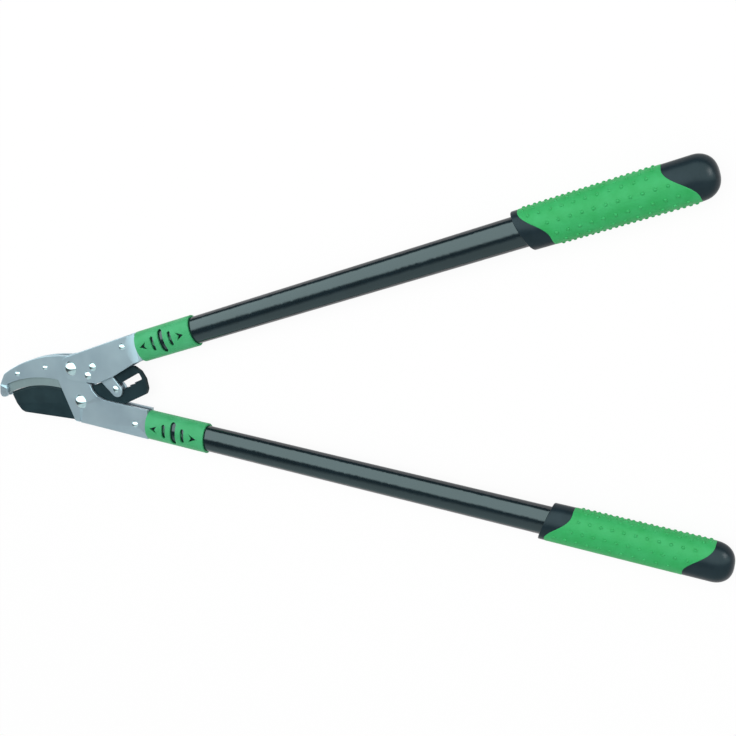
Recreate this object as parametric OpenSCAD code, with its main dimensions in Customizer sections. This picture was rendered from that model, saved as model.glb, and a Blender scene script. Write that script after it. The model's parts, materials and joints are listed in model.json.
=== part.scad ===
// Ratchet lopper: anvil pruner with two long handles and a pawl that steps along a toothed slot.
// The tool lies flat. X runs from the jaw to the grips, Y from the lower handle to the upper one,
// and Z up through the pivots. Lengths are in millimetres and angles in degrees.

/* [Handles] */
// Angle between the two handles with the blade closed
handle_angle = 23; // [18:0.1:27]
// Distance from the handle bolt to the front of the upper sleeve
upper_reach = 92.2; // [90:0.1:98]
// Distance from the blade bolt to the front of the lower sleeve, along the handle
lower_reach = 84.4; // [81:0.1:93]
// Distance from the blade bolt out to the axis of the lower tube
lower_drop = 8.6; // [6:0.1:10]
// Length of tube that shows between the sleeve and the grip
tube_show = 332.4; // [200:1:500]
// Height of the oval tube
tube_h = 26; // [25:0.1:28]
// Depth of the oval tube
tube_d = 16.4; // [16:0.1:20]
// Wall of the tube
tube_wall = 1.4; // [1:0.1:1.5]
// How far the tube's mouth lies inside the sleeve
tube_set = 2; // [1:0.1:4]
// How much further out the lower grip sits on its tube than the upper one
lower_grip_out = 2.4; // [0:0.1:6]

/* [Sleeves] */
// Length of the sleeve
sleeve_len = 67.6; // [64:0.1:90]
// Wall of the sleeve
sleeve_wall = 1.95; // [1.2:0.05:2.4]
// Height of the tall window in the middle of the sleeve
tall_window_h = 22.5; // [16:0.5:23]
// Width of the tall window
tall_window_w = 6; // [4:0.5:7]
// Height of the two short windows
short_window_h = 14; // [8:0.5:15]
// Width of the two short windows
short_window_w = 4; // [3:0.5:5]
// How far the windows lie towards the jaw from the middle of the sleeve
window_set = 1.2; // [0:0.1:2]
// Distance from the tall window to each short one
window_pitch = 11; // [10:0.5:12]
// Distance from the middle of the sleeve to the point of each arrow window
arrow_tip = 27.4; // [26:0.2:29]
// Length of each arrow window
arrow_len = 8.4; // [6:0.2:9]
// Height of each arrow window
arrow_h = 7.4; // [5:0.2:9]

/* [Grips] */
// Height of the grip
grip_h = 34; // [32:0.1:37]
// Depth of the grip
grip_d = 24; // [22:0.1:28]
// Length of the collar ahead of the soft cover, on the handle's axis
collar_len = 11.6; // [11:0.1:16]
// Slant of the collar's front edge
collar_slant = 10; // [4:0.5:10]
// Length of the soft cover
cover_len = 111.2; // [90:0.1:140]
// Wall of the soft cover
cover_wall = 1.7; // [1:0.1:1.8]
// Slant of the soft cover's two ends
cover_slant = 21; // [10:0.5:22]
// Length of the cap behind the soft cover, on the handle's axis
cap_len = 25.6; // [23:0.1:36]
// Radius of the grip's end
butt_round = 15; // [10:0.5:15.5]

/* [Head] */
// Distance from the blade bolt back to the tip of the hook
jaw_reach = 111; // [109:0.1:115]
// Height of the handle bolt above the blade bolt
bolt_rise = 35.7; // [35.2:0.1:36.2]
// Distance of the handle bolt towards the jaw from the blade bolt
bolt_back = 1.3; // [0.8:0.1:1.8]
// Radius of the anvil's cutting face
anvil_r = 140; // [139:0.1:141]
// Height of the anvil bar that shows below the hook plates
anvil_show = 9.2; // [8:0.1:10.4]
// Thickness of each hook plate
hook_t = 2.8; // [2.5:0.1:3]
// Thickness of the blade
blade_t = 4; // [3.6:0.1:4.4]
// Thickness of each handle plate
handle_plate_t = 2.5; // [2.2:0.1:2.8]
// Thickness of each pawl link
link_t = 2.4; // [2:0.1:2.5]
// Width of the flat grind along the blade's edge
grind_w = 18.9; // [14:0.1:20]
// Half of the thickness left at the end of the flat grind
grind_land = 0.6; // [0.4:0.1:1]
// Width of the narrow bevel that makes the edge sharp
edge_w = 2.4; // [1.5:0.1:4]

/* [Ratchet] */
// Length of the pawl link between its two pins
link_len = 32.04; // [31.8:0.02:32.3]
// Width of the pawl link at its pivot
link_wide = 17.6; // [15:0.1:18]
// Width of the pawl link at its pin
link_narrow = 14; // [9:0.1:15]
// Distance between two ratchet teeth
tooth_pitch = 7.3; // [6.8:0.1:7.6]
// Number of ratchet teeth
tooth_count = 3; // [1:1:3]
// Depth of each ratchet tooth
tooth_depth = 1.7; // [1:0.1:2]
// Length of the ratchet slot
slot_len = 36.8; // [33:0.1:37]
// Direction of the ratchet slot
slot_angle = 22; // [21.6:0.1:22.4]

/* [Pins] */
// Radius of the handle bolt and the blade bolt
bolt_r = 4; // [3.5:0.1:4.5]
// Radius of the two bolts' domed heads
bolt_head_r = 7.4; // [6.5:0.1:8]
// Height of the two bolts' domed heads
bolt_head_h = 3.4; // [2.6:0.1:4]
// Radius of the pawl link's pivot rivet
link_rivet_r = 2.8; // [2.4:0.1:3]
// Radius of the pawl pin
pawl_pin_r = 2; // [1.7:0.1:2.1]
// Radius of the plain rivets
rivet_r = 2; // [1.7:0.1:2.2]
// Height of a plain rivet's head
rivet_head_h = 1.8; // [1.4:0.1:2.4]
// Radial clearance of a turning pin in its hole
run_fit = 0.06; // [0.02:0.01:0.09]
// Gap between plates that slide past each other
plate_gap = 0.3; // [0.2:0.05:0.4]
// Wire diameter of the pawl spring
wire_d = 0.8; // [0.6:0.1:0.9]

/* [Hidden] */
$fn = 96;

// Colours
steel = "#A3B5BF";
anvil_steel = "#8A9A9A";
polished = "#D5DCE0";
coated = "#1D2C33";
tube_black = "#15181C";
sleeve_green = "#4CB878";
cover_green = "#35AE63";
grip_grey = "#25323A";

// Directions
half = handle_angle / 2;
along = cos(half);
across = sin(half);

// Layers from the middle plane out
blade_z = blade_t / 2;
hook_in = blade_z + plate_gap;
hook_out = hook_in + hook_t;
link_in = hook_in;
link_out = link_in + link_t;
handle_in = hook_out + plate_gap;
handle_out = handle_in + handle_plate_t;
seat = 0.1;
cut = 1;

// Pivots, measured from the blade bolt
handle_bolt_at = [-bolt_back, bolt_rise];
hook_rivets_at = [[-79.1, 31], [-38.4, 36.7]];

// Points on the upper handle, measured from the handle bolt along and across the tube's axis
link_pivot_on_arm = [28.92, -4.82];
spring_post_on_arm = [18.84, -11.76];
upper_rivet_on_arm = [74, 5.6];
lower_rivet_on_arm = [68.2, 1.6];
pawl_angle_on_arm = -60.5;
link_pivot_at = handle_bolt_at + turn(link_pivot_on_arm, half);
pawl_pin_at = link_pivot_at + turn([link_len, 0], half + pawl_angle_on_arm);

// Hook and anvil
hook_boss_r = 13.3;
hook_crown = [-20, 49];
// The back is an arc, level at the crown, that falls by this much to the nose
hook_fall = 22.7;
nose_slope = 51;
arc_middle = [-54, 17.1 - anvil_r];
anvil_ends = [8.6 - jaw_reach, -24.4];
tip_w = 9.9;
tip_y = 5.9;
plate_top = 16.4;
plate_low = 14;
upper_plate_half = 14;
shoulder_gap = 0.4;
spacer_r = 5.5;
pivot_spacer_r = 7;

// Handle plates
handle_boss_r = 12.6;
lobe_r = 17;
joggle_u = 83.2;
joggle_run = 5.6;
joggle_skew = -half;
joggle_in = hook_in + plate_gap;

// Tang that holds the plates in each tube
tang_half = 7;
tang_len = 56;
plug_set = 8;
plug_fit = 0.1;
tang_rivets = [22, 44];

// Blade
hub_r = 18;
bush_r = 6.5;
bite_gap = 0.3;
edge_half = 0.12;
grind_end = -27;
blade_end = 12.4 - jaw_reach;

// Middles of the pawl link's two round ends, measured from its pivot and from its pin
link_root = [0, 1.2];
link_tip = [1, -0.6];

// Ratchet slot, measured from the pawl pin at rest
slot_start = -2.4;
slot_top = 3.2;
tooth_tip = -3.2;
first_tooth = 9.2;
slot_corner = 1.2;

// Heads
pin_head_r = 3.5;
pin_head_h = 1;
link_head_r = 4.3;
hook_head_r = 3;
post_head_r = 4.2;
spacer_head_r = 3.5;

// Pawl spring
coil_r = link_rivet_r + 1;
coil_from = 35.5;
coil_to = 630;
coil_step = (coil_to - coil_from) / 40;
coil_rise = 1.1;
leg_len = 6.5;
hook_bend = 1;
wire_sides = 6;

// Places along each handle
tube_gap = 0.05;
upper_sleeve_end = upper_reach + sleeve_len;
upper_butt = upper_sleeve_end + tube_show + collar_len + cover_len + cap_len;
lower_butt = upper_butt - upper_reach + lower_reach + lower_grip_out;
tube_stop = 12;
end_half = grip_h / 2 - butt_round;
bolt_end = 2;

// Lean of the soft cover's ends: half of the height that it takes, and its middle at the front end
lean_half = 13.5;
front_lean_at = 3;

// Middle of the whole tool's box, measured from the blade bolt
x_low = -jaw_reach;
x_high = handle_bolt_at.x + upper_butt * along + end_half * across;
y_high = handle_bolt_at.y + (upper_butt - butt_round) * across + grip_h / 2 * along;
y_low = -(lower_butt - butt_round) * across - (lower_drop + grip_h / 2) * along;
middle = [(x_low + x_high) / 2, (y_low + y_high) / 2];

// A point turned about the origin
function turn(p, a) = [p.x * cos(a) - p.y * sin(a), p.x * sin(a) + p.y * cos(a)];

// Frames: the head's own at the blade bolt, and one on each tube's axis with Y pointing outwards
module head() translate([-middle.x, -middle.y, 0]) children();
module upper_arm() head() translate(handle_bolt_at) rotate(half) children();
module lower_arm() head() rotate(-half) mirror([0, 1, 0]) translate([0, lower_drop, 0]) children();
module rear() mirror([0, 0, 1]) children();

// Building blocks
module oval(h, d) scale([d / h, 1]) circle(d = h);

module oval_bar(from, to, h, d) {
  translate([from, 0, 0]) rotate([0, 90, 0]) linear_extrude(to - from) oval(h, d);
}

module sheet(low, high) translate([0, 0, low]) linear_extrude(high - low) children();

module hole(at, r) translate([at.x, at.y, -grip_d]) cylinder(r = r, h = 2 * grip_d);

module shank(at, r, reach) translate([at.x, at.y, -reach]) cylinder(r = r, h = 2 * reach);

// Dome that stands on the plane at height z
module dome(at, z, r, h) {
  ball = (r * r + h * h) / (2 * h);
  translate([at.x, at.y, z]) intersection() {
    translate([0, 0, h - ball]) sphere(r = ball);
    cylinder(r = r, h = h);
  }
}

// Rivet with a dome on both sides of what it holds
module rivet(at, r, reach, head_r, head_h) {
  shank(at, r, reach);
  dome(at, reach, head_r, head_h);
  rear() dome(at, reach, head_r, head_h);
}

// Hook and anvil
module hook_outline() {
  nose = [3.5 - jaw_reach, 20];
  rise = hook_crown.y - nose.y;
  run = hook_crown.x - nose.x;
  back_r = (run * run + hook_fall * hook_fall) / (2 * hook_fall);
  offset(r = 4) offset(delta = -4) intersection() {
    translate([hook_crown.x, hook_crown.y - back_r]) circle(r = back_r, $fn = 360);
    polygon([
      [handle_bolt_at.x + 6, hook_crown.y], [nose.x + rise / tan(nose_slope), hook_crown.y],
      nose, [-jaw_reach, 9], [-jaw_reach + 1.6, tip_y],
      [-jaw_reach + tip_w, tip_y], [-jaw_reach + tip_w + 3.7, 18.2],
      [-jaw_reach + tip_w + 7.9, 20.7], [-jaw_reach + tip_w + 10.1, 12],
      [-10, 12], [handle_bolt_at.x + 6, handle_bolt_at.y]]);
  }
}

module on_lower_handle() rotate(-half) mirror([0, 1, 0]) translate([0, lower_drop, 0]) children();

module anvil_plate_outline() {
  offset(r = -2) offset(r = 2) union() {
    difference() {
      hook_outline();
      translate(arc_middle) circle(r = anvil_r + anvil_show, $fn = 360);
    }
    intersection() {
      hook_outline();
      translate([-jaw_reach - cut, 0]) square([tip_w + 3.7, hook_crown.y]);
    }
    translate(handle_bolt_at) circle(r = hook_boss_r);
    polygon([
      [-24, 22], [-23, 18], [-12.6, -19], [-10, -20.6], [-4, -21.4], [24, -26.5],
      [31, 2.1], [23.2, 5.9], [18.6, 11.3], [16.6, 18.1], [12, 20.3],
      [12.2, 28], [0, 36]]);
    on_lower_handle() {
      translate([0, -plate_top]) square([lower_reach - shoulder_gap, plate_top + plate_low]);
      tang_outline(lower_reach);
    }
  }
}

module tang_outline(reach) {
  translate([reach - 6, -tang_half]) square([tang_len + 6, 2 * tang_half]);
}

module anvil_plate() {
  head() difference() {
    sheet(hook_in, hook_out) anvil_plate_outline();
    hole(handle_bolt_at, bolt_r + run_fit);
    hole([0, 0], bolt_r);
    for (at = hook_rivets_at) hole(at, rivet_r);
    on_lower_handle() {
      hole(lower_rivet_on_arm, rivet_r);
      for (u = tang_rivets) hole([lower_reach + u, 0], rivet_r);
    }
  }
}

module anvil_plate_front() color(steel) anvil_plate();
module anvil_plate_rear() color(steel) rear() anvil_plate();

module anvil_bar() {
  color(anvil_steel) head() difference() {
    sheet(-hook_in, hook_in) intersection() {
      difference() {
        union() {
          offset(delta = -2) hook_outline();
          translate(arc_middle) circle(r = anvil_r + anvil_show + cut, $fn = 360);
        }
        translate(arc_middle) circle(r = anvil_r, $fn = 360);
      }
      polygon([
        [anvil_ends[0] - 1, 4], [anvil_ends[0] + 6, 30], [arc_middle.x, hook_crown.y],
        [anvil_ends[1], hook_crown.y], [anvil_ends[1], 4]]);
    }
    for (at = hook_rivets_at) hole(at, rivet_r);
  }
}

module anvil_rivets() {
  color(polished) head() {
    for (at = hook_rivets_at) rivet(at, rivet_r, hook_out, hook_head_r, rivet_head_h);
  }
}

module blade_bolt() {
  color(polished) head() {
    shank([0, 0], bolt_r, hook_out);
    dome([0, 0], hook_out, bolt_head_r, bolt_head_h);
    rear() cylinder(r = bolt_r, h = hook_out + bolt_end);
  }
}

module blade_nut() {
  color(polished) head() rear() difference() {
    dome([0, 0], hook_out, bolt_head_r, bolt_head_h);
    cylinder(r = bolt_r, h = hook_out + bolt_end);
  }
}

module pivot_spacer() {
  color(polished) head() translate(handle_bolt_at) difference() {
    cylinder(r = pivot_spacer_r, h = 2 * hook_in, center = true);
    cylinder(r = bolt_r + run_fit, h = 4 * hook_in, center = true);
  }
}

module lower_spacer() {
  color(polished) head() on_lower_handle() difference() {
    shank(lower_rivet_on_arm, spacer_r, hook_in);
    hole(lower_rivet_on_arm, rivet_r);
  }
}

module lower_spacer_rivet() {
  color(polished) head() on_lower_handle()
    rivet(lower_rivet_on_arm, rivet_r, hook_out, spacer_head_r, rivet_head_h);
}

// Parts that both handles share, built on the tube's axis with Y pointing outwards
module tube(reach, butt) {
  difference() {
    oval_bar(reach + tube_set, butt - tube_stop, tube_h, tube_d);
    oval_bar(reach, butt, tube_h - 2 * tube_wall, tube_d - 2 * tube_wall);
    for (u = tang_rivets) hole([reach + u, 0], rivet_r);
  }
}

// Block that fills the tube's mouth and has a pocket for each plate's tang
module tube_plug(reach, low) {
  difference() {
    oval_bar(reach + plug_set, reach + tang_len + plug_set,
             tube_h - 2 * tube_wall - plug_fit, tube_d - 2 * tube_wall - plug_fit);
    for (side = [0, 1]) mirror([0, 0, side]) {
      translate([reach, -tang_half - plug_fit, low - plug_fit]) {
        cube([tang_len + plug_fit, 2 * (tang_half + plug_fit), grip_d]);
      }
    }
    for (u = tang_rivets) hole([reach + u, 0], rivet_r);
  }
}

module tube_rivets(reach) {
  for (u = tang_rivets) shank([reach + u, 0], rivet_r, tube_d / 2 - 2 * plug_fit);
}

module arrow_window() {
  polygon([
    [arrow_tip, 0], [arrow_tip - arrow_len, arrow_h / 2],
    [arrow_tip - 0.7 * arrow_len, 0], [arrow_tip - arrow_len, -arrow_h / 2]]);
}

module slot_window(at, w, h) {
  translate([at, 0]) {
    square([w, h - w], center = true);
    for (side = [-1, 1]) translate([0, side * (h - w) / 2]) circle(d = w);
  }
}

module sleeve(reach) {
  difference() {
    oval_bar(reach, reach + sleeve_len, tube_h + 2 * (sleeve_wall + tube_gap),
             tube_d + 2 * (sleeve_wall + tube_gap));
    oval_bar(reach - cut, reach + sleeve_len + cut, tube_h + 2 * tube_gap, tube_d + 2 * tube_gap);
    translate([reach + sleeve_len / 2 - window_set, 0]) sheet(-grip_d, grip_d) {
      slot_window(0, tall_window_w, tall_window_h);
      for (side = [-1, 1]) {
        slot_window(side * window_pitch, short_window_w, short_window_h);
        scale([side, 1]) arrow_window();
      }
    }
  }
}

// Outline of an end of the cover seen from the front: an S that leans towards the butt on the inside
function lean(y, centre) = sin(90 * max(-1, min(1, (y - centre) / lean_half)));
function cover_edge(at, centre) =
  [for (y = [20:-3:-20]) [at - cover_slant / 2 * lean(y, centre), y]];
function reversed(list) = [for (i = [len(list) - 1:-1:0]) list[i]];

module cover_region(butt) {
  back = butt - cap_len;
  front = back - cover_len;
  sheet(-grip_d, grip_d) polygon(concat(cover_edge(front, front_lean_at), reversed(cover_edge(back, 0))));
}

module grip_cover(butt) {
  intersection() {
    cover_region(butt);
    difference() {
      oval_bar(0, butt, grip_h, grip_d);
      oval_bar(-cut, butt + cut, grip_h - 2 * cover_wall, grip_d - 2 * cover_wall);
    }
  }
}

// Collar, inner sleeve and cap in one piece
module grip_core(butt) {
  front = butt - cap_len - cover_len - collar_len;
  full = front + collar_len;
  neck_h = grip_h - 2;
  neck_d = grip_d - 2;
  difference() {
    union() {
      hull($fn = 48) {
        oval_bar(front - collar_slant / 2, front, neck_h, neck_d);
        oval_bar(full - 1, full, grip_h, grip_d);
      }
      oval_bar(full - 1, butt - butt_round, grip_h, grip_d);
      hull($fn = 48) for (a = [0:15:90]) {
        size = 1 - 2 * butt_round / grip_h * (1 - cos(a));
        oval_bar(butt - butt_round - 0.1, butt - butt_round * (1 - sin(a)),
                 grip_h * size, grip_d * size);
      }
    }
    grip_cover(butt);
    oval_bar(0, butt - tube_stop, tube_h + 2 * tube_gap, tube_d + 2 * tube_gap);
    sheet(-grip_d, grip_d) polygon([
      [front - 3 * collar_slant, grip_h], [front - collar_slant, grip_h],
      [front + collar_slant, -grip_h], [front - 3 * collar_slant, -grip_h]]);
  }
}

module lower_tube() color(tube_black) lower_arm() tube(lower_reach, lower_butt);
module upper_tube() color(tube_black) upper_arm() tube(upper_reach, upper_butt);
module lower_tube_plug() color(grip_grey) lower_arm() tube_plug(lower_reach, hook_in);
module upper_tube_plug() color(grip_grey) upper_arm() tube_plug(upper_reach, joggle_in);
module lower_tube_rivets() color(polished) lower_arm() tube_rivets(lower_reach);
module upper_tube_rivets() color(polished) upper_arm() tube_rivets(upper_reach);
module lower_sleeve() color(sleeve_green) lower_arm() sleeve(lower_reach);
module upper_sleeve() color(sleeve_green) upper_arm() sleeve(upper_reach);
module lower_grip_core() color(grip_grey) lower_arm() grip_core(lower_butt);
module upper_grip_core() color(grip_grey) upper_arm() grip_core(upper_butt);
module lower_grip_cover() color(cover_green) lower_arm() grip_cover(lower_butt);
module upper_grip_cover() color(cover_green) upper_arm() grip_cover(upper_butt);

// Handle pivot
module handle_bolt() {
  color(polished) head() translate(handle_bolt_at) {
    shank([0, 0], bolt_r, handle_out + seat);
    dome([0, 0], handle_out + seat, bolt_head_r, bolt_head_h);
    rear() cylinder(r = bolt_r, h = handle_out + bolt_end);
  }
}

module handle_nut() {
  color(polished) head() translate(handle_bolt_at) rear() difference() {
    dome([0, 0], handle_out + seat, bolt_head_r, bolt_head_h);
    cylinder(r = bolt_r, h = handle_out + bolt_end);
  }
}

// Blade
module blade_outline() {
  intersection() {
    translate(arc_middle) circle(r = anvil_r - bite_gap, $fn = 360);
    offset(r = 3) offset(delta = -3) polygon([
      [blade_end, 12], [blade_end + 6, -2], [blade_end + 10.6, -9.2], [blade_end + 15.2, -11.8],
      [-16, -19.6], [0, -hub_r], [0, hub_r], [-20, 30], [blade_end, 30]]);
  }
  circle(r = hub_r);
}

module tail_outline() {
  offset(r = 5) offset(delta = -5) polygon([
    [-6, 10], [11, 13.5], [40, 22.6], [60, 31.4], [74, 35.2], [82, 29.4], [85.8, 21.6],
    [86.2, 11.6], [83.4, 6.4], [60.1, -1.6], [12, -18], [-6, -10]]);
}

// Toothed slot, measured along and across the slot from the pawl pin
module slot_outline() {
  root = tooth_tip - tooth_depth;
  teeth = [for (i = [0:tooth_count - 1]) each [
    [first_tooth + i * tooth_pitch, root], [first_tooth + i * tooth_pitch, tooth_tip]]];
  translate(pawl_pin_at) rotate(slot_angle) offset(r = 0.6) offset(delta = -0.6) polygon(concat(
    [[slot_start, slot_top], [slot_start, tooth_tip], [first_tooth - tooth_pitch, tooth_tip]],
    teeth,
    [[slot_start + slot_len - slot_corner, tooth_tip - tooth_depth / 2],
     [slot_start + slot_len, tooth_tip - tooth_depth / 2 + slot_corner],
     [slot_start + slot_len, slot_top - slot_corner],
     [slot_start + slot_len - slot_corner, slot_top]]));
}

// Flat grind and the narrow bevel at its end, on the front face
module grind() {
  top = arc_middle.y + anvil_r - bite_gap;
  rotate([90, 0, 90]) translate([0, 0, -jaw_reach]) linear_extrude(jaw_reach + grind_end) polygon([
    [top - grind_w, blade_z], [top, grind_land], [top + cut, grind_land],
    [top + cut, blade_z + cut], [top - grind_w, blade_z + cut]]);
}

module edge_bevel() {
  tip = anvil_r - bite_gap;
  translate(arc_middle) rotate_extrude($fn = 360) polygon([
    [tip - edge_w, blade_z + cut], [tip - edge_w, grind_land + edge_half],
    [tip, edge_half], [tip + cut, edge_half], [tip + cut, blade_z + cut]]);
}

module blade() {
  color(coated) head() difference() {
    sheet(-blade_z, blade_z) difference() {
      union() {
        blade_outline();
        tail_outline();
      }
      slot_outline();
    }
    for (side = [0, 1]) mirror([0, 0, side]) {
      grind();
      edge_bevel();
    }
    hole([0, 0], bush_r);
  }
}

module blade_bush() {
  color(polished) head() difference() {
    cylinder(r = bush_r, h = 2 * (hook_in - seat), center = true);
    hole([0, 0], bolt_r + run_fit);
  }
}

// Upper handle
module handle_plate_outline() {
  offset(r = -2) offset(r = 2) union() {
    hull() {
      circle(r = handle_boss_r);
      translate(link_pivot_on_arm) circle(r = lobe_r);
    }
    polygon([
      [0, handle_boss_r], [joggle_u, upper_plate_half + 0.6],
      [upper_reach - shoulder_gap, upper_plate_half],
      [upper_reach - shoulder_gap, -upper_plate_half + 1],
      [80, -upper_plate_half + 0.6], [49, -19.8], [34, -21], [0, 0]]);
    tang_outline(upper_reach);
  }
}

// Side view of a plate that steps in towards the middle just ahead of the sleeve
module joggle_outline() {
  far = upper_reach + tang_len;
  polygon([
    [-2 * lobe_r, handle_in], [joggle_u, handle_in], [joggle_u + joggle_run, joggle_in],
    [far, joggle_in], [far, joggle_in + handle_plate_t],
    [joggle_u + joggle_run, joggle_in + handle_plate_t], [joggle_u, handle_out],
    [-2 * lobe_r, handle_out]]);
}

module handle_plate() {
  upper_arm() difference() {
    intersection() {
      sheet(0, grip_d) handle_plate_outline();
      translate([joggle_u, 0, 0]) rotate(joggle_skew) translate([-joggle_u, 0, 0])
        rotate([90, 0, 0]) translate([0, 0, -2 * grip_d]) linear_extrude(4 * grip_d) joggle_outline();
    }
    hole([0, 0], bolt_r + run_fit);
    hole(link_pivot_on_arm, link_rivet_r + run_fit);
    hole(spring_post_on_arm, rivet_r);
    hole(upper_rivet_on_arm, rivet_r);
    for (u = tang_rivets) hole([upper_reach + u, 0], rivet_r);
  }
}

module handle_plate_front() color(steel) handle_plate();
module handle_plate_rear() color(steel) rear() handle_plate();

module upper_spacer() {
  color(polished) upper_arm() difference() {
    shank(upper_rivet_on_arm, spacer_r, handle_in);
    hole(upper_rivet_on_arm, rivet_r);
  }
}

module upper_spacer_rivet() {
  color(polished) upper_arm()
    rivet(upper_rivet_on_arm, rivet_r, handle_out, spacer_head_r, rivet_head_h);
}

module spring_post() {
  color(polished) upper_arm()
    rivet(spring_post_on_arm, rivet_r, handle_out, post_head_r, rivet_head_h);
}

// Pawl
module link_rivet() {
  color(polished) upper_arm()
    rivet(link_pivot_on_arm, link_rivet_r, handle_out + seat, link_head_r, rivet_head_h);
}

module on_link() upper_arm() translate(link_pivot_on_arm) rotate(pawl_angle_on_arm) children();

module pawl_link() {
  difference() {
    sheet(link_in, link_out) hull() {
      translate(link_root) circle(d = link_wide);
      translate([link_len, 0] + link_tip) circle(d = link_narrow);
    }
    hole([0, 0], link_rivet_r + run_fit);
    hole([link_len, 0], pawl_pin_r);
  }
}

module pawl_link_front() {
  color(steel) on_link() difference() {
    pawl_link();
    hole([leg_len, -coil_r], wire_d / 2 + plug_fit);
  }
}

module pawl_link_rear() color(steel) on_link() rear() pawl_link();

module pawl_pin() {
  color(polished) on_link() rivet([link_len, 0], pawl_pin_r, link_out, pin_head_r, pin_head_h);
}

// Spring wire: a list of stations, each a point, a direction across the wire and the wire's own direction
function radial(a) = [cos(a), sin(a), 0];
function coil_point(a) = coil_r * radial(a)
  + [0, 0, coil_rise * (2 * (a - coil_from) / (coil_to - coil_from) - 1)];
function coil_slope(a) = [-sin(a), cos(a), 0];
free_leg = [for (d = [leg_len, leg_len / 2])
  [coil_point(coil_from) - d * coil_slope(coil_from), radial(coil_from), coil_slope(coil_from)]];
coils = [for (i = [0:40]) let (a = coil_from + i * coil_step) [coil_point(a), radial(a), coil_slope(a)]];
hooked_leg = [for (b = [0:30:90])
  [[leg_len - hook_bend * (1 - sin(b)), -coil_r, coil_rise + hook_bend * (1 - cos(b))],
   radial(coil_to), [cos(b), 0, sin(b)]]];
hook_tip = [[[leg_len, -coil_r, link_in + link_t / 2], radial(coil_to), [0, 0, 1]]];
spring_wire = concat(free_leg, coils, hooked_leg, hook_tip);

function wire_ring(s) = [for (k = [0:wire_sides - 1]) let (a = 360 * k / wire_sides)
  s[0] + wire_d / 2 * (cos(a) * s[1] + sin(a) * cross(s[2], s[1]))];

module pawl_spring() {
  rings = len(spring_wire);
  last = (rings - 1) * wire_sides;
  gap = min([for (i = [0:rings - 1]) for (j = [i + 8:1:rings - 1])
    norm(spring_wire[i][0] - spring_wire[j][0])]) - wire_d;
  echo(str("least gap between the spring's turns: ", gap));
  color(polished) on_link() polyhedron(
    points = [for (s = spring_wire) each wire_ring(s)],
    faces = concat(
      [for (i = [1:wire_sides - 2]) [0, i, i + 1]],
      [for (i = [1:wire_sides - 2]) [last, last + i + 1, last + i]],
      [for (i = [0:rings - 2]) for (k = [0:wire_sides - 1]) let (
        a = i * wire_sides + k, b = i * wire_sides + (k + 1) % wire_sides) each [
        [a, a + wire_sides, b], [b, a + wire_sides, b + wire_sides]]]));
}

anvil_plate_front();
anvil_plate_rear();
anvil_bar();
anvil_rivets();
blade_bolt();
blade_nut();
pivot_spacer();
lower_spacer();
lower_spacer_rivet();
lower_tube();
lower_tube_plug();
lower_tube_rivets();
lower_sleeve();
lower_grip_core();
lower_grip_cover();
handle_bolt();
handle_nut();
blade();
blade_bush();
handle_plate_front();
handle_plate_rear();
upper_spacer();
upper_spacer_rivet();
spring_post();
upper_tube();
upper_tube_plug();
upper_tube_rivets();
upper_sleeve();
upper_grip_core();
upper_grip_cover();
link_rivet();
pawl_link_front();
pawl_link_rear();
pawl_pin();
pawl_spring();
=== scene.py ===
"""Ratchet lopper: finishes, rounded plates, windowed sleeves, studded grips and a pale studio.

Lengths in the named values are millimetres, and every mesh is in metres in the frame's own axes.
"""

import json
import math

import bmesh
import bpy
from mathutils import Matrix, Vector

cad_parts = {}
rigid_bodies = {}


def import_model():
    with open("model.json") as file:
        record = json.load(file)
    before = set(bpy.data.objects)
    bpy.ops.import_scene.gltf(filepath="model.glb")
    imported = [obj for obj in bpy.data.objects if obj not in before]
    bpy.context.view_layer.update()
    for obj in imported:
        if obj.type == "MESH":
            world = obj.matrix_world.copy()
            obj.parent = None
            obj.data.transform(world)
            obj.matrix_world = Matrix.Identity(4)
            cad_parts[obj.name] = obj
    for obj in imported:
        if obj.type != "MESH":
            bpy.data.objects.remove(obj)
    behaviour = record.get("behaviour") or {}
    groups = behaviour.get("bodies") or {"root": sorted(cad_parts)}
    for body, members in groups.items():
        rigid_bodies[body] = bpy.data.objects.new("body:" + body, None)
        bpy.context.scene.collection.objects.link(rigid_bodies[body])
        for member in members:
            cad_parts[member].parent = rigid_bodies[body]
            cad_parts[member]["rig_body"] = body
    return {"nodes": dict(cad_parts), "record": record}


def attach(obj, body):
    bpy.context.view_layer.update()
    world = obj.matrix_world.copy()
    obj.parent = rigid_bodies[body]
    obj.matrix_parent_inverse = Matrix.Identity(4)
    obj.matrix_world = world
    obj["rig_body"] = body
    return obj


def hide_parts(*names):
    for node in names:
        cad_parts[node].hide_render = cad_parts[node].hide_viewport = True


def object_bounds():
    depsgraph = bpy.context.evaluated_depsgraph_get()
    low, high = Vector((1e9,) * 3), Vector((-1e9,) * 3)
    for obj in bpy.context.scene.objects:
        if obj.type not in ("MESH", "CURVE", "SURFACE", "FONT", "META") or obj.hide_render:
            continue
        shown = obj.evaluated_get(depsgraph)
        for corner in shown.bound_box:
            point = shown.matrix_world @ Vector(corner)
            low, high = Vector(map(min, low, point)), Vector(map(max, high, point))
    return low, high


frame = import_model()
cad_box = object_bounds()

MM = 0.001
# Corners of a CAD mesh that are closer than this are one
MERGE = 0.0005
RECORD = frame["record"]
SLOTS = {part["node"]: part["material_slot"] for part in RECORD["subparts"]}

# Grip shapes that part.scad also has
GRIP_H = 34
GRIP_D = 24
COLLAR_LEN = 11.6
COLLAR_SLANT = 10
COVER_SLANT = 21
LEAN_HALF = 13.5
BUTT_ROUND = 15
# Heights across the grip where the cover's front end and back end lean most, as in the photograph
UPPER_CENTRES = (3, 0)
LOWER_CENTRES = (-0.3, -2.4)


# Noise is mostly between these two, so a pattern's colours reach both ends
COLOUR_STOPS = (0.3, 0.7)


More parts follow.
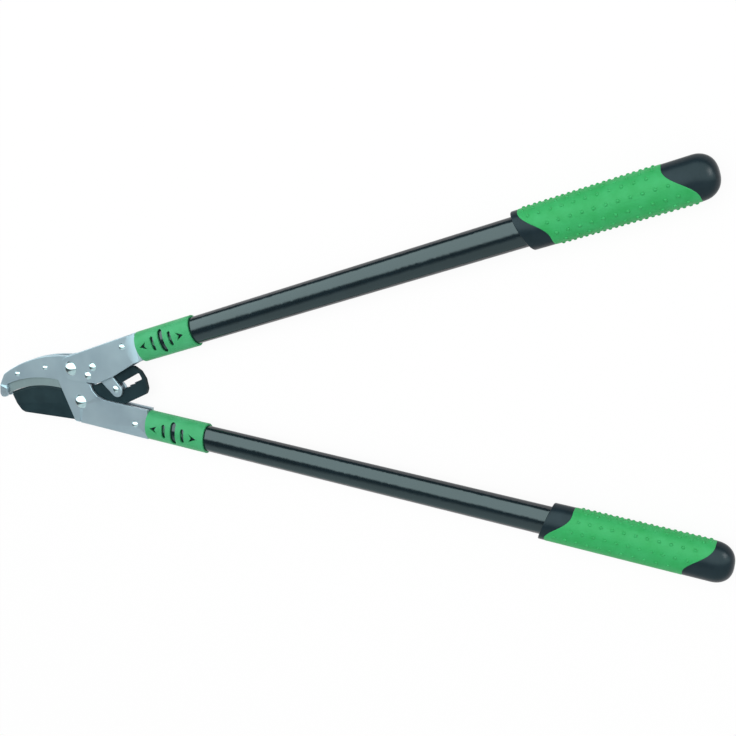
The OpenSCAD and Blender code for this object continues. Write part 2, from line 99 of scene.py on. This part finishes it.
def linear(hex_colour):
    """Linear RGBA of an sRGB hex colour."""
    channels = [int(hex_colour[i:i + 2], 16) / 255 for i in (1, 3, 5)]
    return [c / 12.92 if c < 0.04045 else ((c + 0.055) / 1.055) ** 2.4 for c in channels] + [1]


def add(tree, kind, links=(), **settings):
    """Adds a node, sets its properties and inputs, and links (input, output) pairs into it."""
    node = tree.nodes.new(kind)
    for key, value in settings.items():
        if hasattr(node, key):
            setattr(node, key, value)
        else:
            node.inputs[key.replace("_", " ")].default_value = value
    for socket, source in links:
        tree.links.new(source, node.inputs[socket])
    return node


def new_material(name, **principled):
    """Material with a Principled shader, and the Object coordinates its patterns read."""
    material = bpy.data.materials.new(name)
    material.use_nodes = True
    tree = material.node_tree
    shader = tree.nodes["Principled BSDF"]
    for key, value in principled.items():
        shader.inputs[key.replace("_", " ")].default_value = value
    where = add(tree, "ShaderNodeTexCoord").outputs["Object"]
    return material, tree, shader, where


def noise(tree, where, size_mm, detail=2.0):
    """Noise whose blotches are about size_mm across."""
    return add(tree, "ShaderNodeTexNoise", [("Vector", where)],
               Scale=1 / (size_mm * MM), Detail=detail).outputs["Fac"]


def blend_colours(tree, shader, factor, first, second):
    """Colours the shader with a mix of two colours that follows a pattern."""
    ramp = add(tree, "ShaderNodeValToRGB", [("Fac", factor)])
    for stop, place, colour in zip(ramp.color_ramp.elements, COLOUR_STOPS, (first, second)):
        stop.position = place
        stop.color = linear(colour)
    tree.links.new(ramp.outputs["Color"], shader.inputs["Base Color"])


def vary_roughness(tree, shader, factor, low, high):
    """Roughness that follows a pattern between two values."""
    spread = add(tree, "ShaderNodeMapRange", [("Value", factor)], To_Min=low, To_Max=high)
    tree.links.new(spread.outputs["Result"], shader.inputs["Roughness"])


def add_bump(tree, shader, height, depth_mm):
    """Bump of a given depth on the shader's normal."""
    bump = add(tree, "ShaderNodeBump", [("Height", height)], Strength=1.0, Distance=depth_mm * MM)
    tree.links.new(bump.outputs["Normal"], shader.inputs["Normal"])


def stretched(tree, where, scale):
    """Coordinates squeezed along an axis, for grain that runs one way."""
    return add(tree, "ShaderNodeMapping", [("Vector", where)], Scale=scale).outputs["Vector"]


def zinc_plated_sheet():
    """Satin zinc on cold rolled sheet: pale blue grey, a soft even shine and a faint rolled grain."""
    material, tree, shader, where = new_material("zinc_plated_sheet", Metallic=0.6, Roughness=0.3)
    # Passivated zinc clouds over a few centimetres
    blend_colours(tree, shader, noise(tree, where, 28), "#A6B6C1", "#B4C4CD")
    # Rolled grain is under 0.1 mm, and it is drawn 0.6 mm wide so that it shows
    grain = noise(tree, stretched(tree, where, (0.12, 1, 1)), 0.6, 4)
    vary_roughness(tree, shader, grain, 0.25, 0.38)
    add_bump(tree, shader, grain, 0.012)
    return material


def ground_anvil_steel():
    """Surface ground steel: a greyer, bare strip with fine lines across it from the wheel."""
    material, tree, shader, where = new_material("ground_anvil_steel", Metallic=0.6, Roughness=0.4)
    lines = noise(tree, stretched(tree, where, (1, 0.06, 1)), 0.8, 4)
    blend_colours(tree, shader, lines, "#8C999B", "#929FA1")
    vary_roughness(tree, shader, lines, 0.32, 0.5)
    add_bump(tree, shader, lines, 0.006)
    return material


def bright_chrome():
    """Bright chrome plate on cold headed rivets: a near mirror, a little softened by handling."""
    material, tree, shader, where = new_material("bright_chrome", Metallic=1.0, Roughness=0.08)
    smudges = noise(tree, where, 2.5, 3)
    blend_colours(tree, shader, smudges, "#D3DADE", "#E2E7EA")
    vary_roughness(tree, shader, smudges, 0.05, 0.14)
    return material


def turned_steel():
    """Turned steel spacers: fine rings from the tool and a low shine."""
    material, tree, shader, where = new_material("turned_steel", Metallic=0.9, Roughness=0.35)
    # Feed marks are about 0.1 mm apart, and they are drawn at 0.4 mm
    rings = noise(tree, stretched(tree, where, (0.1, 0.1, 1)), 0.4, 2)
    blend_colours(tree, shader, rings, "#A9B0B4", "#C3C9CC")
    add_bump(tree, shader, rings, 0.01)
    return material


def drawn_spring_wire():
    """Drawn spring wire: smooth, grey and slightly oily, so its shine changes along the coil."""
    material, tree, shader, where = new_material("drawn_spring_wire", Metallic=0.9, Roughness=0.3)
    film = noise(tree, where, 1.5)
    blend_colours(tree, shader, film, "#7F878C", "#A4ABB0")
    vary_roughness(tree, shader, film, 0.2, 0.4)
    return material


def low_friction_coating():
    """Baked low friction coating on the blade: dark blue green, satin, with a fine sprayed grain."""
    material, tree, shader, where = new_material("low_friction_coating", Roughness=0.42, IOR=1.22)
    blend_colours(tree, shader, noise(tree, where, 16, 3), "#17272C", "#1E3035")
    # Spray grain is about 0.1 mm, and it is drawn at 0.5 mm
    grain = noise(tree, where, 0.5, 3)
    vary_roughness(tree, shader, grain, 0.36, 0.5)
    add_bump(tree, shader, grain, 0.01)
    return material


def gloss_black_enamel():
    """Gloss powder enamel on oval tube: blue black, with a strong shine and a faint orange peel."""
    material, tree, shader, where = new_material("gloss_black_enamel", Roughness=0.14, IOR=1.66)
    blend_colours(tree, shader, noise(tree, where, 30), "#0B181E", "#0F1D24")
    # Orange peel in powder coat is 2 to 3 mm across
    add_bump(tree, shader, noise(tree, where, 2.6, 1), 0.01)
    return material


def moulded_green_plastic():
    """Moulded polypropylene sleeve: even green, half gloss, with a fine sparked mould texture."""
    material, tree, shader, where = new_material("moulded_green_plastic", Roughness=0.42, IOR=1.3)
    blend_colours(tree, shader, noise(tree, where, 14), "#3CA166", "#47AA72")
    # Spark texture is about 0.1 mm, and it is drawn at 0.45 mm
    sparks = noise(tree, where, 0.45, 3)
    vary_roughness(tree, shader, sparks, 0.32, 0.46)
    add_bump(tree, shader, sparks, 0.012)
    return material


def soft_green_rubber():
    """Soft thermoplastic rubber over the grip: a deeper green, nearly matt."""
    material, tree, shader, where = new_material("soft_green_rubber", Roughness=0.45, IOR=1.4)
    blend_colours(tree, shader, noise(tree, where, 9, 3), "#259E52", "#31A75F")
    # The skin's matt texture is about 0.1 mm, and it is drawn at 0.4 mm
    skin = noise(tree, where, 0.4, 3)
    vary_roughness(tree, shader, skin, 0.42, 0.58)
    add_bump(tree, shader, skin, 0.015)
    return material


def moulded_grey_nylon():
    """Moulded nylon collar and cap: dark blue grey and satin, with a fine mould texture."""
    material, tree, shader, where = new_material("moulded_grey_nylon", Roughness=0.3, IOR=1.3)
    blend_colours(tree, shader, noise(tree, where, 12), "#152329", "#1C2A31")
    sparks = noise(tree, where, 0.5, 3)
    vary_roughness(tree, shader, sparks, 0.24, 0.34)
    add_bump(tree, shader, sparks, 0.014)
    return material


FINISHES = {
    "plate_steel": zinc_plated_sheet(),
    "anvil_steel": ground_anvil_steel(),
    "rivet_chrome": bright_chrome(),
    "spacer_steel": turned_steel(),
    "spring_steel": drawn_spring_wire(),
    "blade_coating": low_friction_coating(),
    "tube_enamel": gloss_black_enamel(),
    "plug_plastic": moulded_grey_nylon(),
    "sleeve_plastic": moulded_green_plastic(),
    "grip_rubber": soft_green_rubber(),
}
FINISHES["grip_plastic"] = FINISHES["plug_plastic"]


def give_finish(obj, slot):
    """Puts a slot's material on an object."""
    obj.data.materials.clear()
    obj.data.materials.append(FINISHES[slot])


for node_name, node_object in frame["nodes"].items():
    give_finish(node_object, SLOTS[node_name])


def make_piece(bm, name, nodes, crease=30):
    """Piece that stands for CAD nodes and rides on their body, with creases left sharp."""
    for face in bm.faces:
        face.smooth = True
    for edge in bm.edges:
        if len(edge.link_faces) == 2 and edge.calc_face_angle() > math.radians(crease):
            edge.smooth = False
    mesh = bpy.data.meshes.new(name)
    bm.to_mesh(mesh)
    bm.free()
    piece = bpy.data.objects.new(name, mesh)
    bpy.context.scene.collection.objects.link(piece)
    slot = SLOTS[nodes[0]]
    give_finish(piece, slot)
    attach(piece, frame["nodes"][nodes[0]]["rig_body"])
    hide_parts(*nodes)
    return piece


def merged_copy(node):
    """Copy of a CAD node's mesh, whose loose triangles come joined at their corners."""
    bm = bmesh.new()
    bm.from_mesh(frame["nodes"][node].data)
    bmesh.ops.remove_doubles(bm, verts=bm.verts, dist=MERGE * MM)
    return bm


# Triangles that turn by less than this are one flat face, and edges that turn by more than the
# second are rounded, all in degrees
FLAT_TURN = 0.3
SHARP_TURN = 35


def flat_copy(node):
    """Merged copy of a CAD node's mesh with its triangles joined into flat faces."""
    bm = merged_copy(node)
    bmesh.ops.dissolve_limit(bm, angle_limit=math.radians(FLAT_TURN), verts=bm.verts, edges=bm.edges,
                             use_dissolve_boundaries=False)
    return bm


def rounded_part(node, name, radius, crease=30):
    """Piece made from a CAD node with its sharp edges rounded."""
    bm = flat_copy(node)
    limit = math.radians(SHARP_TURN)
    edges = [e for e in bm.edges if len(e.link_faces) == 2 and e.calc_face_angle() > limit]
    bmesh.ops.bevel(bm, geom=edges, offset=radius * MM, offset_type="OFFSET", segments=2,
                    profile=0.5, affect="EDGES", clamp_overlap=False, material=-1)
    return make_piece(bm, name, [node], crease)


def keep_flat(piece):
    """Lets the broad faces of a piece stay flat in the light."""
    piece.modifiers.new("flat faces", "WEIGHTED_NORMAL").keep_sharp = True


# A face is one of a plate's two broad ones when its normal has more than this share along Z
BROAD = 0.8
RIM_STEPS = 4
# Rim steps turn by 22.5 degrees and stay smooth, and the step in the handle plates by 26.6
PLATE_CREASE = 24


def pressed_plate(node, name, radius):
    """Plate with the rims of its broad faces and holes rolled into quarter rounds."""
    bm = merged_copy(node)
    for side in (1, -1):
        broad = [face for face in bm.faces if face.normal.z * side > BROAD]
        verts = {vert for face in broad for vert in face.verts}
        bmesh.ops.translate(bm, verts=list(verts), vec=(0, 0, -side * radius * MM))
        turns = [math.pi / 2 * i / RIM_STEPS for i in range(RIM_STEPS + 1)]
        for a, b in zip(turns, turns[1:]):
            bmesh.ops.inset_region(
                bm, faces=broad, use_boundary=True, use_even_offset=False,
                thickness=radius * MM * (math.cos(a) - math.cos(b)),
                depth=radius * MM * (math.sin(b) - math.sin(a)))
        # Slivers between holes would take the rim's slant into the flat face without this
        flat = set(broad)
        for edge in {edge for face in broad for edge in face.edges}:
            edge.smooth = all(face in flat for face in edge.link_faces)
    keep_flat(make_piece(bm, name, [node], PLATE_CREASE))


# Rolled edges: a press leaves about half a millimetre, and grinding and moulding leave less
PLATE_RIM = 0.55
ANVIL_RIM = 0.4
BLADE_RIM = 0.25
SLEEVE_RIM = 0.3

for face in ("front", "rear"):
    pressed_plate(f"anvil_plate_{face}", f"hook_plate_{face}", PLATE_RIM)
    pressed_plate(f"handle_plate_{face}", f"handle_cheek_{face}", PLATE_RIM)
    pressed_plate(f"pawl_link_{face}", f"link_cheek_{face}", PLATE_RIM)
pressed_plate("anvil_bar", "anvil_strip", ANVIL_RIM)
# The line where the blade's flat grind starts turns by only 4 degrees, and it stays sharp
keep_flat(rounded_part("blade", "coated_blade", BLADE_RIM, crease=3))


def handle_axes(mount, outwards):
    """Matrix with X along a handle's tube, Y outwards and Z up, at that handle's mount."""
    clip = next(m for m in RECORD["mounts"] if m["name"] == mount)
    along = Vector(clip["axis"]).normalized()
    across = Vector((-along.y, along.x, 0)) * outwards
    turn = Matrix((along, across, Vector((0, 0, 1)))).transposed().to_4x4()
    return Matrix.Translation(clip["pos_m"]) @ turn


def stations(node, axes):
    """A node's lowest and highest place along a handle's tube, in millimetres."""
    back = axes.inverted()
    places = [(back @ v.co).x / MM for v in frame["nodes"][node].data.vertices]
    return min(places), max(places)


def unit_tube(rings, segments):
    """Tube of radius 1 along X with its rings at whole numbers."""
    bm = bmesh.new()
    bmesh.ops.create_circle(bm, segments=segments, radius=1, matrix=Matrix.Rotation(math.pi / 2, 4, "Y"))
    ring = list(bm.edges)
    for _ in range(rings - 1):
        grown = bmesh.ops.extrude_edge_only(bm, edges=ring)["geom"]
        verts = {g for g in grown if isinstance(g, bmesh.types.BMVert)}
        ring = [g for g in grown if isinstance(g, bmesh.types.BMEdge) and set(g.verts) <= verts]
        bmesh.ops.translate(bm, verts=list(verts), vec=(1, 0, 0))
    return bm


def shape_tube(bm, rings):
    """Moves each ring of a unit tube to its place. A ring is (height, depth, place of x for a y)."""
    for vert in bm.verts:
        height, depth, place = rings[round(vert.co.x)]
        y = vert.co.y * height / 2
        vert.co = Vector((place(y), y, vert.co.z * depth / 2)) * MM


def lean(y, centre):
    """How far the cover's end leans, from -1 to 1, at a height across the grip."""
    return math.sin(math.pi / 2 * max(-1, min(1, (y - centre) / LEAN_HALF)))


def place_on(bm, axes):
    """Moves a mesh onto a handle and turns its faces outwards."""
    bmesh.ops.transform(bm, matrix=axes, verts=bm.verts)
    bmesh.ops.recalc_face_normals(bm, faces=bm.faces)


WALK_STEPS = 720


def oval_walk(height, depth):
    """Points round an oval as (arc from the top of its depth, y, z), walked towards +Y."""
    walk = [(0.0, 0.0, depth / 2)]
    for i in range(1, WALK_STEPS):
        a = 2 * math.pi * i / WALK_STEPS
        y, z = height / 2 * math.sin(a), depth / 2 * math.cos(a)
        arc = walk[-1][0] + math.hypot(y - walk[-1][1], z - walk[-1][2])
        walk.append((arc, y, z))
    return walk


# Studs of the soft cover
STUD_R = 1.5
STUD_H = 1.0
STUD_SINK = 0.12
STUD_PITCH = 9.1
STUD_MARGIN = 3.4
# The cover's rolled lip, as (distance in from its end, depth below its skin)
LIP = ((0, 1.7), (0, 0.8), (0.12, 0.36), (0.4, 0.08), (1, 0))
COVER_SPANS = 44
GRIP_SEGMENTS = 96
GRIP_CREASE = 50


def stud_shape():
    """Half of a small ball with a flat underside, one unit high and wide."""
    bm = bmesh.new()
    bmesh.ops.create_uvsphere(bm, u_segments=8, v_segments=6, radius=1)
    bmesh.ops.bisect_plane(bm, geom=bm.verts[:] + bm.edges[:] + bm.faces[:], plane_co=(0, 0, 0),
                           plane_no=(0, 0, 1), clear_inner=True)
    mesh = bpy.data.meshes.new("stud_shape")
    bm.to_mesh(mesh)
    bm.free()
    return mesh


STUD = stud_shape()


def add_studs(bm, rows, front, back):
    """Puts staggered rows of studs on the cover. A row is its arc round the oval from the front face."""
    walk = oval_walk(GRIP_H, GRIP_D)
    low = front(GRIP_H)
    for count, row in enumerate(rows):
        arc = row % walk[-1][0]
        _, y, z = min(walk, key=lambda point: abs(point[0] - arc))
        out = Vector((0, y / (GRIP_H / 2) ** 2, z / (GRIP_D / 2) ** 2)).normalized()
        side = Vector((1, 0, 0)).cross(out)
        turn = Matrix((Vector((1, 0, 0)), side * -1, out)).transposed().to_4x4()
        x = low + (count % 2) * STUD_PITCH / 2
        while x < front(y) + STUD_MARGIN:
            x += STUD_PITCH
        while x < back(y) - STUD_MARGIN:
            start = len(bm.verts)
            bm.from_mesh(STUD)
            bm.verts.ensure_lookup_table()
            foot = Vector((x, y, z)) - out * STUD_SINK
            size = Matrix.Diagonal((STUD_R, STUD_R, STUD_H + STUD_SINK, 1))
            move = Matrix.Scale(MM, 4) @ Matrix.Translation(foot) @ turn @ size
            bmesh.ops.transform(bm, matrix=move, verts=bm.verts[start:])
            x += STUD_PITCH


def soft_cover(handle, axes, rows, centres):
    """Green rubber cover between two ends that lean as an S, with rolled lips and rows of studs."""
    low, high = stations(f"{handle}_grip_cover", axes)
    at_front = low + COVER_SLANT / 2
    at_back = high - COVER_SLANT / 2

    def front(y):
        return at_front - COVER_SLANT / 2 * lean(y, centres[0])

    def back(y):
        return at_back - COVER_SLANT / 2 * lean(y, centres[1])

    rings = [(GRIP_H - 2 * deep, GRIP_D - 2 * deep, lambda y, inwards=inwards: front(y) + inwards)
             for inwards, deep in LIP]
    for i in range(1, COVER_SPANS):
        share = i / COVER_SPANS
        rings.append((GRIP_H, GRIP_D, lambda y, share=share: front(y) * (1 - share) + back(y) * share))
    rings += [(GRIP_H - 2 * deep, GRIP_D - 2 * deep, lambda y, inwards=inwards: back(y) - inwards)
              for inwards, deep in reversed(LIP)]
    bm = unit_tube(len(rings), GRIP_SEGMENTS)
    ends = [e for e in bm.edges if e.is_boundary]
    bmesh.ops.bridge_loops(bm, edges=ends)
    shape_tube(bm, rings)
    bmesh.ops.recalc_face_normals(bm, faces=bm.faces)
    add_studs(bm, rows, front, back)
    place_on(bm, axes)
    return make_piece(bm, f"{handle}_soft_cover", [f"{handle}_grip_cover"], GRIP_CREASE)


# Collar and cap sit a little below the cover's skin
CORE_SINK = 0.15
# The collar's rounded front edge from the tube's skin outwards, as (distance in, height, depth)
COLLAR_EDGE = (
    (0, 26.3, 16.7), (0, 31.9, 21.9), (0.12, 32.7, 22.7), (0.45, 33.3, 23.3), (1, 33.6, 23.6))
DOME_STEPS = 16
# Less than 1 makes the cap's dome fuller than a ball
DOME_POWER = 0.8
DOME_TIP = 0.0001
TIP_MERGE = 0.01


def grip_body(handle, axes):
    """Nylon grip: a slanted collar with a rounded front edge, and a cap with a full dome."""
    low, _ = stations(f"{handle}_grip_cover", axes)
    _, butt = stations(f"{handle}_grip_core", axes)
    collar_front = low + COVER_SLANT / 2 - COLLAR_LEN
    full_h = GRIP_H - 2 * CORE_SINK
    full_d = GRIP_D - 2 * CORE_SINK
    rings = [(h, d, lambda y, inwards=inwards: collar_front + inwards - y * COLLAR_SLANT / GRIP_H)
             for inwards, h, d in COLLAR_EDGE]
    rings.append((full_h, full_d, lambda y: collar_front + COLLAR_LEN - y * COLLAR_SLANT / GRIP_H / 2))
    dome_start = butt - BUTT_ROUND
    for share in (0.25, 0.5, 0.75):
        x = collar_front + COLLAR_LEN + share * (dome_start - collar_front - COLLAR_LEN)
        rings.append((full_h, full_d, lambda y, x=x: x))
    for i in range(DOME_STEPS + 1):
        a = math.pi / 2 * i / DOME_STEPS
        x = dome_start + BUTT_ROUND * math.sin(a)
        size = max(math.cos(a), DOME_TIP) ** DOME_POWER
        rings.append((full_h * size, full_d * size, lambda y, x=x: x))
    bm = unit_tube(len(rings), GRIP_SEGMENTS)
    shape_tube(bm, rings)
    bmesh.ops.remove_doubles(bm, verts=bm.verts, dist=TIP_MERGE * MM)
    place_on(bm, axes)
    return make_piece(bm, f"{handle}_grip_body", [f"{handle}_grip_core"], GRIP_CREASE)


# Rows as arcs in millimetres from the middle of the front face, outwards positive
UPPER_ROWS = (-22.5, -15.4, -7.9, 1.3, 10.8, 17, 22.4)
LOWER_ROWS = (-21.3, -18.1, -10.2, -0.8, 8.2)


def both_faces(rows, half_way):
    """Rows of the front face and their mirror images on the rear face, in order round the oval."""
    return list(rows) + [2 * half_way - row for row in reversed(rows)]


quarter = max(oval_walk(GRIP_H, GRIP_D), key=lambda point: point[1])[0]
for handle, outwards, rows, centres in (("upper", 1, UPPER_ROWS, UPPER_CENTRES),
                                        ("lower", -1, LOWER_ROWS, LOWER_CENTRES)):
    axes = handle_axes(f"{handle}_tube_clip", outwards)
    soft_cover(handle, axes, both_faces(rows, quarter), centres)
    grip_body(handle, axes)
    rounded_part(f"{handle}_sleeve", f"{handle}_window_sleeve", SLEEVE_RIM)


# Spring wire, smoothed to a round section
spring = make_piece(flat_copy("pawl_spring"), "pawl_spring_wire", ["pawl_spring"], 60)
smooth = spring.modifiers.new("round wire", "SUBSURF")
smooth.levels = smooth.render_levels = 2


# Camera at the photograph's place, 49 mm lens on a 36 mm square frame
CAMERA_AT = (469.2, 208.6, 738.3)
CAMERA_RIGHT = Vector((0.887242, -0.138287, -0.440089))
CAMERA_DOWN = Vector((-0.018874, -0.964093, 0.264893))
FRAME_PIXELS = 736
FOCAL_PIXELS = 1000
SENSOR = 36


def make_camera():
    """Camera that looks down on the tool from the grips' side."""
    data = bpy.data.cameras.new("camera")
    data.sensor_width = SENSOR
    data.sensor_fit = "HORIZONTAL"
    data.lens = FOCAL_PIXELS / FRAME_PIXELS * SENSOR
    data.clip_start = 0.01
    camera = bpy.data.objects.new("camera", data)
    back = CAMERA_RIGHT.cross(-CAMERA_DOWN)
    turn = Matrix((CAMERA_RIGHT, -CAMERA_DOWN, back)).transposed().to_4x4()
    camera.matrix_world = Matrix.Translation(Vector(CAMERA_AT) * MM) @ turn
    bpy.context.scene.collection.objects.link(camera)
    bpy.context.scene.camera = camera


def make_lamp(name, at, aim, size, power):
    """Rectangular soft lamp aimed at a point."""
    data = bpy.data.lights.new(name, "AREA")
    data.shape = "RECTANGLE"
    data.size, data.size_y = size
    data.energy = power
    lamp = bpy.data.objects.new(name, data)
    lamp.location = at
    lamp.rotation_euler = (Vector(aim) - Vector(at)).to_track_quat("-Z", "Y").to_euler()
    bpy.context.scene.collection.objects.link(lamp)
    return lamp


def seen_white(tree):
    """Two outputs, each 1 or 0: camera or transmission rays, and glossy rays."""
    path = add(tree, "ShaderNodeLightPath")
    first = add(tree, "ShaderNodeMath", [(0, path.outputs["Is Camera Ray"]),
                                         (1, path.outputs["Is Transmission Ray"])], operation="MAXIMUM")
    return first.outputs[0], path.outputs["Is Glossy Ray"]


# Half the floor's side in metres, its gap below the tool in millimetres, and how much of what
# the camera sees of it is plain white
FLOOR_HALF = 6
FLOOR_GAP = 0.5
FLOOR_GLOW = 0.93


def make_floor():
    """Pale floor just under the tool, near white to the camera but with the tool's shadow."""
    bm = bmesh.new()
    bmesh.ops.create_grid(bm, x_segments=1, y_segments=1, size=FLOOR_HALF)
    bmesh.ops.translate(bm, verts=bm.verts, vec=(0, 0, cad_box[0][2] - FLOOR_GAP * MM))
    mesh = bpy.data.meshes.new("floor")
    bm.to_mesh(mesh)
    bm.free()
    floor = bpy.data.objects.new("floor", mesh)
    bpy.context.scene.collection.objects.link(floor)
    material = bpy.data.materials.new("pale_floor")
    material.use_nodes = True
    tree = material.node_tree
    tree.nodes.clear()
    seen, glossy = seen_white(tree)
    any_view = add(tree, "ShaderNodeMath", [(0, seen), (1, glossy)], operation="MAXIMUM")
    share = add(tree, "ShaderNodeMath", [(0, any_view.outputs[0])], operation="MULTIPLY")
    share.inputs[1].default_value = FLOOR_GLOW
    matt = add(tree, "ShaderNodeBsdfDiffuse", Color=linear("#F4F4F4"))
    glow = add(tree, "ShaderNodeEmission", Color=(1, 1, 1, 1), Strength=1.0)
    mixed = add(tree, "ShaderNodeMixShader", [("Fac", share.outputs[0]), (1, matt.outputs[0]),
                                              (2, glow.outputs[0])])
    add(tree, "ShaderNodeOutputMaterial", [("Surface", mixed.outputs[0])])
    mesh.materials.append(material)


# The room that shiny parts see: a big softbox from overhead down to the far side, a dark gap, and a
# pale near side. Each is a vector, and how far a direction leans to it where the light starts and
# where it is full. A direction is in the softbox where it leans to both of the first two.
SOFTBOX_EDGE = ((0.13, 1, 0.174), -0.05, 0.06)
SOFTBOX_FOOT = ((0, -0.51, 1), -0.04, 0.1)
PALE_SIDE = ((0.1, -1, 0), 0.3, 0.5)
SOFTBOX = 2.6
GAP = 0.1
PALE = 0.65
GLOSS_TINT = "#E0FFFF"
# Matt surfaces see an even tent of this strength
TENT = 0.62


def ramp_towards(tree, direction, part, top):
    """0 to top as a direction leans towards a part of the room."""
    vector, low, high = part
    leaning = add(tree, "ShaderNodeVectorMath", [(0, direction)], operation="DOT_PRODUCT")
    leaning.inputs[1].default_value = vector
    return add(tree, "ShaderNodeMapRange", [("Value", leaning.outputs["Value"])],
               From_Min=low, From_Max=high, To_Max=top).outputs[0]


def make_world():
    """White to the camera, an even pale tent for matt surfaces, and a cool room in gloss."""
    world = bpy.data.worlds.new("studio")
    bpy.context.scene.world = world
    world.use_nodes = True
    tree = world.node_tree
    tree.nodes.clear()
    seen, glossy = seen_white(tree)
    direction = add(tree, "ShaderNodeTexCoord").outputs["Generated"]
    edge = ramp_towards(tree, direction, SOFTBOX_EDGE, SOFTBOX)
    foot = ramp_towards(tree, direction, SOFTBOX_FOOT, SOFTBOX)
    near = ramp_towards(tree, direction, PALE_SIDE, PALE)
    softbox = add(tree, "ShaderNodeMath", [(0, edge), (1, foot)], operation="MINIMUM")
    lit = add(tree, "ShaderNodeMath", [(0, softbox.outputs[0]), (1, near)], operation="ADD")
    room = add(tree, "ShaderNodeMath", [(0, lit.outputs[0])], operation="ADD")
    room.inputs[1].default_value = GAP
    matt_or_gloss = add(tree, "ShaderNodeMix", [("Factor", glossy), ("B", room.outputs[0])], A=TENT)
    strength = add(tree, "ShaderNodeMix", [("Factor", seen), ("A", matt_or_gloss.outputs[0])], B=1.0)
    tint = add(tree, "ShaderNodeMixRGB", [("Fac", glossy)],
               Color1=(1, 1, 1, 1), Color2=linear(GLOSS_TINT))
    sky = add(tree, "ShaderNodeBackground",
              [("Strength", strength.outputs[0]), ("Color", tint.outputs[0])])
    add(tree, "ShaderNodeOutputWorld", [("Surface", sky.outputs[0])])


make_camera()
make_floor()
make_world()
# Lamps in metres and watts. Only matt surfaces see the first, since gloss has the room's softbox.
overhead = make_lamp(
    "overhead_softbox", at=(0.1, 0.75, 1.9), aim=(0.05, 0.1, 0), size=(3.3, 2.0), power=34)
overhead.visible_glossy = False
# Only gloss sees the second, at the far right, and it lights the caps' ends and the studs
side_box = make_lamp(
    "side_softbox", at=(2.0, 0.75, 1.1), aim=(0.3, 0.05, 0), size=(0.7, 0.7), power=12)
side_box.visible_diffuse = False
bpy.context.scene.view_settings.view_transform = "Standard"
